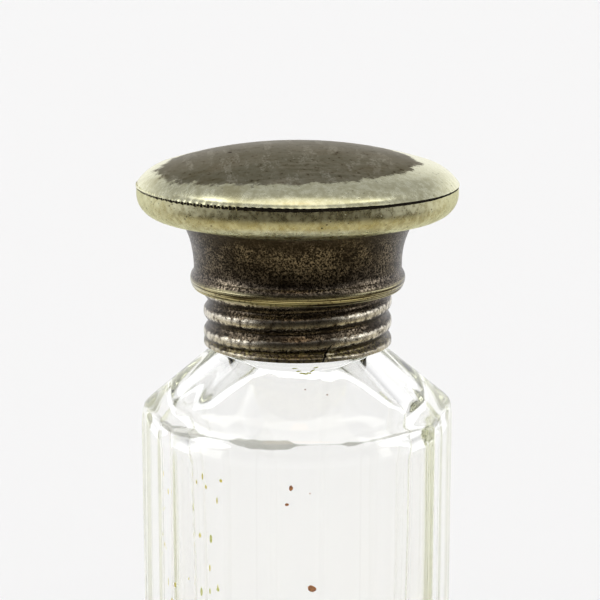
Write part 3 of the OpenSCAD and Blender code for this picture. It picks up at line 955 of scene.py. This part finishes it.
def make_pan():
    centre = (cap_r - PAN_ROUND, ceiling_z + PAN_ROUND_UP)
    reach = (centre[0] - flare_top_r, centre[1] - ceiling_z)
    slope = math.atan2(reach[1], reach[0]) - math.asin(PAN_ROUND / math.hypot(*reach))

    def outline(inset, top):
        flat_r = flare_top_r - inset * math.tan(slope / 2)
        rim = arc(centre, PAN_ROUND - inset, math.degrees(slope) - 90, 0, 20)
        return [(0, ceiling_z + inset), (flat_r, ceiling_z + inset)] + line(
            (flat_r, ceiling_z + inset), rim[0], 5)[:-1] + rim + [(cap_r - inset, top)]

    profile = outline(0, pan_top_z) + outline(SHELL_SHEET, pan_top_z)[::-1]
    worn = dents(11, 14, (19, 25), (0.5, 1.6), 0.06)

    def rough_edge(radius, turns, height):
        radius, height = worn(radius, turns, height)
        share = np.clip(1 - (pan_top_z - height) / 0.3, 0, 1)
        return radius, height - 0.2 * share * ragged(turns, 5)

    rows = turned(profile, 480, rough_edge)
    finish_piece(skin("rim_shell", rows, True, MATERIALS["pan"], 45), "cap", "cap_plate", "cap_pan")


def skirt_outline(inset):
    start = math.degrees(math.asin((skirt_z - bead_c[1]) / (BEAD_ROUND - inset)))
    end = math.degrees(math.acos((waist_r - inset - bead_c[0]) / (BEAD_ROUND - inset)))
    flare = math.degrees(math.asin((ceiling_z - waist_z) / (FLARE_R + inset)))
    bead = arc(bead_c, BEAD_ROUND - inset, start, end, 16)
    return bead + arc((waist_r + FLARE_R, waist_z), FLARE_R + inset, 180, 180 - flare, 22)


def make_skirt():
    profile = skirt_outline(0) + skirt_outline(SKIRT_SHEET)[::-1]

    def pressed(radius, turns, height):
        wobble = 0.03 * (np.cos(3 * turns + 1) - 1) + 0.02 * (np.cos(7 * turns + height) - 1)
        return radius + wobble, height

    rows = turned(profile, 240, pressed)
    finish_piece(skin("cap_skirt_spun", rows, False, MATERIALS["skirt"], 50),
                 "cap", "skirt_plate", "cap_skirt")


def make_mouth_ring():
    low_r, step_z = ring_r - 0.2, mouth_z + (ring_top_z - mouth_z) * 0.45
    profile = [(sleeve_crest_r, mouth_z), (low_r - 0.06, mouth_z), (low_r, mouth_z + 0.06),
               (low_r, step_z - 0.06), (low_r - 0.08, step_z), (ring_r - 0.1, step_z + 0.05),
               (ring_r, step_z + 0.12), (ring_r, ring_top_z - 0.06), (ring_r - 0.06, ring_top_z),
               (sleeve_crest_r, ring_top_z)]
    finish_piece(skin("mouth_ring_turned", turned(profile, 240), False, MATERIALS["brass"], 40),
                 "cap", "bare_brass", "mouth_ring")


def dome_wall_r(z):
    """Outer radius of the crown's roll at a height near the seam."""
    return roll_c[0] + math.sqrt(ROLL_ROUND ** 2 - (z - roll_c[1]) ** 2)


def make_seam_dirt():
    """Ring of dirt that fills the gap between crown and rim and lies just inside both."""
    low, behind = pan_top_z - 0.3, cap_r - 0.5
    profile = [(behind, low), (cap_r - 0.1, low), (cap_r - 0.04, pan_top_z - 0.05)]
    profile += [(dome_wall_r(z) - 0.06, z) for z in np.linspace(seam_z - 0.02, seam_z + 0.55, 6)]
    profile += [(behind, seam_z + 0.6)]
    finish_piece(skin("seam_dirt_ring", turned(profile, 360), False, MATERIALS["dirt"], 40),
                 "cap", "solder")


def random_vector(g, low, high, seed):
    node = g.node("FunctionNodeRandomValue", {"data_type": "FLOAT_VECTOR"})
    node.inputs[0].default_value = low
    node.inputs[1].default_value = high
    g.put(node.inputs["Seed"], seed)
    return node.outputs[0]


# Crimped teeth run round the left of the seam. Angles are in radians from the front.
TEETH = {"Count": 50, "Start": -1.62, "End": -0.42, "Width": 0.3, "Seed": 5}
TOOTH_DEPTH = 0.22
TOOTH_HEIGHT = 0.62
TOOTH_RISE = 0.1
TOOTH_INSET = 0.1


def teeth_tree():
    """Row of small crimped teeth round part of the seam. Lengths are in mm, angles in radians."""
    g = Growth("crimp_teeth_tree", {"Count": 44, "Radius": 24.0, "Height": 110.0, "Start": 0.0, "End": 1.0,
                                    "Width": 0.3, "Seed": 5})
    points = g.node("GeometryNodeMeshLine", Count=g.input("Count"))
    index = g.node("GeometryNodeInputIndex").outputs["Index"]
    share = g.math("DIVIDE", index, g.math("SUBTRACT", g.input("Count"), 1.0))
    sweep = g.math("SUBTRACT", g.input("End"), g.input("Start"))
    turn = g.math("ADD", g.input("Start"), g.math("MULTIPLY", share, sweep))
    ahead, behind = (g.math("MULTIPLY", g.input("Radius"), unit) for unit in (-MM, MM))
    place = g.node("ShaderNodeCombineXYZ", X=g.math("MULTIPLY", g.math("SINE", turn), behind),
                   Y=g.math("MULTIPLY", g.math("COSINE", turn), ahead),
                   Z=g.math("MULTIPLY", g.input("Height"), MM))
    ring = g.node("GeometryNodeSetPosition", Geometry=points.outputs["Mesh"],
                  Position=place.outputs["Vector"])
    tooth = g.node("GeometryNodeMeshUVSphere", Segments=10, Rings=6, Radius=0.5 * MM)
    spin = g.node("ShaderNodeCombineXYZ", Z=turn)
    grown = g.split(random_vector(g, (0.7, 0.9, 0.7), (1.3, 1.0, 1.3), g.input("Seed")))
    size = g.node("ShaderNodeCombineXYZ", X=g.math("MULTIPLY", g.input("Width"), grown[0]),
                  Y=TOOTH_DEPTH, Z=g.math("MULTIPLY", TOOTH_HEIGHT, grown[2]))
    placed = g.node("GeometryNodeInstanceOnPoints", Points=ring.outputs["Geometry"],
                    Instance=tooth.outputs["Mesh"], Rotation=spin.outputs["Vector"],
                    Scale=size.outputs["Vector"])
    return g.finish(placed.outputs["Instances"], MATERIALS["crown"])


def make_teeth():
    radius = dome_wall_r(seam_z + TOOTH_RISE) - TOOTH_INSET
    piece = grow("crimp_teeth", teeth_tree(), {"Radius": radius, "Height": seam_z + 0.08, **TEETH})
    finish_piece(piece, "cap", "cap_plate")


def fleck_tree(name, material):
    """Dried flecks scattered on the wall of the hollow. Lengths are in mm."""
    g = Growth(name, {"Per Square Metre": 30000.0, "Seed": 8})
    spots = g.node("GeometryNodeDistributePointsOnFaces", Mesh=g.input("Geometry"),
                   Density=g.input("Per Square Metre"), Seed=g.input("Seed"))
    ball = g.node("GeometryNodeMeshIcoSphere", Radius=0.5 * MM, Subdivisions=2)
    size = random_vector(g, (0.2, 0.25, 0.06), (0.6, 1.5, 0.12), g.math("ADD", g.input("Seed"), 1))
    placed = g.node("GeometryNodeInstanceOnPoints", Points=spots.outputs["Points"],
                    Instance=ball.outputs["Mesh"], Rotation=spots.outputs["Rotation"], Scale=size)
    return g.finish(placed.outputs["Instances"], material)


# Colour, then start and end angle in degrees and lowest and highest z of the patch, flecks
# per square metre, and seed
FLECKS = (("yellow", (-74, -34, 46, 74), 60000.0, 8),
          ("green", (-80, -36, 44, 72), 40000.0, 3))


def make_flecks():
    wall_r = (hollow_r - 0.2) * MM
    for name, (start, end, low, high), density, seed in FLECKS:
        patch = bent_strip(name + "_patch", start, end, ((wall_r, low * MM), (wall_r, high * MM)), 12)
        piece = grow(name + "_flecks", fleck_tree(name + "_fleck_tree", MATERIALS[name]),
                     {"Per Square Metre": density, "Seed": seed}, patch)
        finish_piece(piece, "jar", "clear_glass")


# Single specks inside the glass: angle from the front in degrees, distance from the axis,
# height, width and height of the speck in mm
WALL_SPECK_R = 19.25
RUST_SPECKS = ((-6.8, WALL_SPECK_R, 71.15, 0.6, 0.85), (-8.6, WALL_SPECK_R, 68.6, 0.62, 0.42),
               (2.6, WALL_SPECK_R, 55.2, 1.3, 0.95), (-60, WALL_SPECK_R, 62.3, 0.5, 0.6),
               (1.8, WALL_SPECK_R, 70.3, 0.2, 0.2), (-58, WALL_SPECK_R, 55.8, 0.5, 0.5),
               (1.4, 12.6, 83.2, 0.22, 0.22), (15, 13.6, 82.4, 0.22, 0.22))
GREEN_SPECKS = tuple((turn, 9.9, 84.9 + 0.012 * (turn - 3) ** 2, 0.8, 0.2) for turn in range(-6, 14, 3))


def make_specks(name, material, places):
    rng = np.random.default_rng(len(places))
    points, faces = [], []
    rows, columns = 7, 12
    for turn, distance, height, wide, tall in places:
        lean = rng.uniform(-0.5, 0.5)
        first = len(points)
        for i in range(rows):
            rise = math.pi * (i + 0.5) / rows - math.pi / 2
            for j in range(columns):
                a = 2 * math.pi * j / columns
                grown = 1 + 0.18 * rng.uniform(-1, 1)
                u, v = math.cos(rise) * math.cos(a) * grown, math.cos(rise) * math.sin(a) * grown
                across = (u * math.cos(lean) * wide - v * math.sin(lean) * tall) / 2
                up = (u * math.sin(lean) * wide + v * math.cos(lean) * tall) / 2
                angle = math.radians(turn) + across / distance
                r = distance + 0.07 * math.sin(rise)
                points.append((r * MM * math.sin(angle), -r * MM * math.cos(angle), (height + up) * MM))
        for i in range(rows - 1):
            for j in range(columns):
                k = (j + 1) % columns
                faces.append([first + i * columns + j, first + i * columns + k,
                              first + (i + 1) * columns + k, first + (i + 1) * columns + j])
        faces.append([first + j for j in reversed(range(columns))])
        faces.append([first + (rows - 1) * columns + j for j in range(columns)])
    finish_piece(linked(name, new_mesh(name, points, faces, material)), "jar", "clear_glass")


make_dome()
make_pan()
make_seam_dirt()
make_skirt()
make_mouth_ring()
make_teeth()
make_flecks()
make_specks("rust_specks", MATERIALS["rust"], RUST_SPECKS)
make_specks("throat_crust", MATERIALS["green"], GREEN_SPECKS)


# ---------------------------------------------------------------- frame nodes that stay
def paint_node(name, material):
    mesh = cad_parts[name].data
    mesh.materials.clear()
    mesh.materials.append(material)


for node_name, finish in (("neck_cement", "plaster"), ("cork_liner", "cork"),
                          ("skirt_solder", "solder"), ("seam_solder", "solder")):
    paint_node(node_name, MATERIALS[finish])
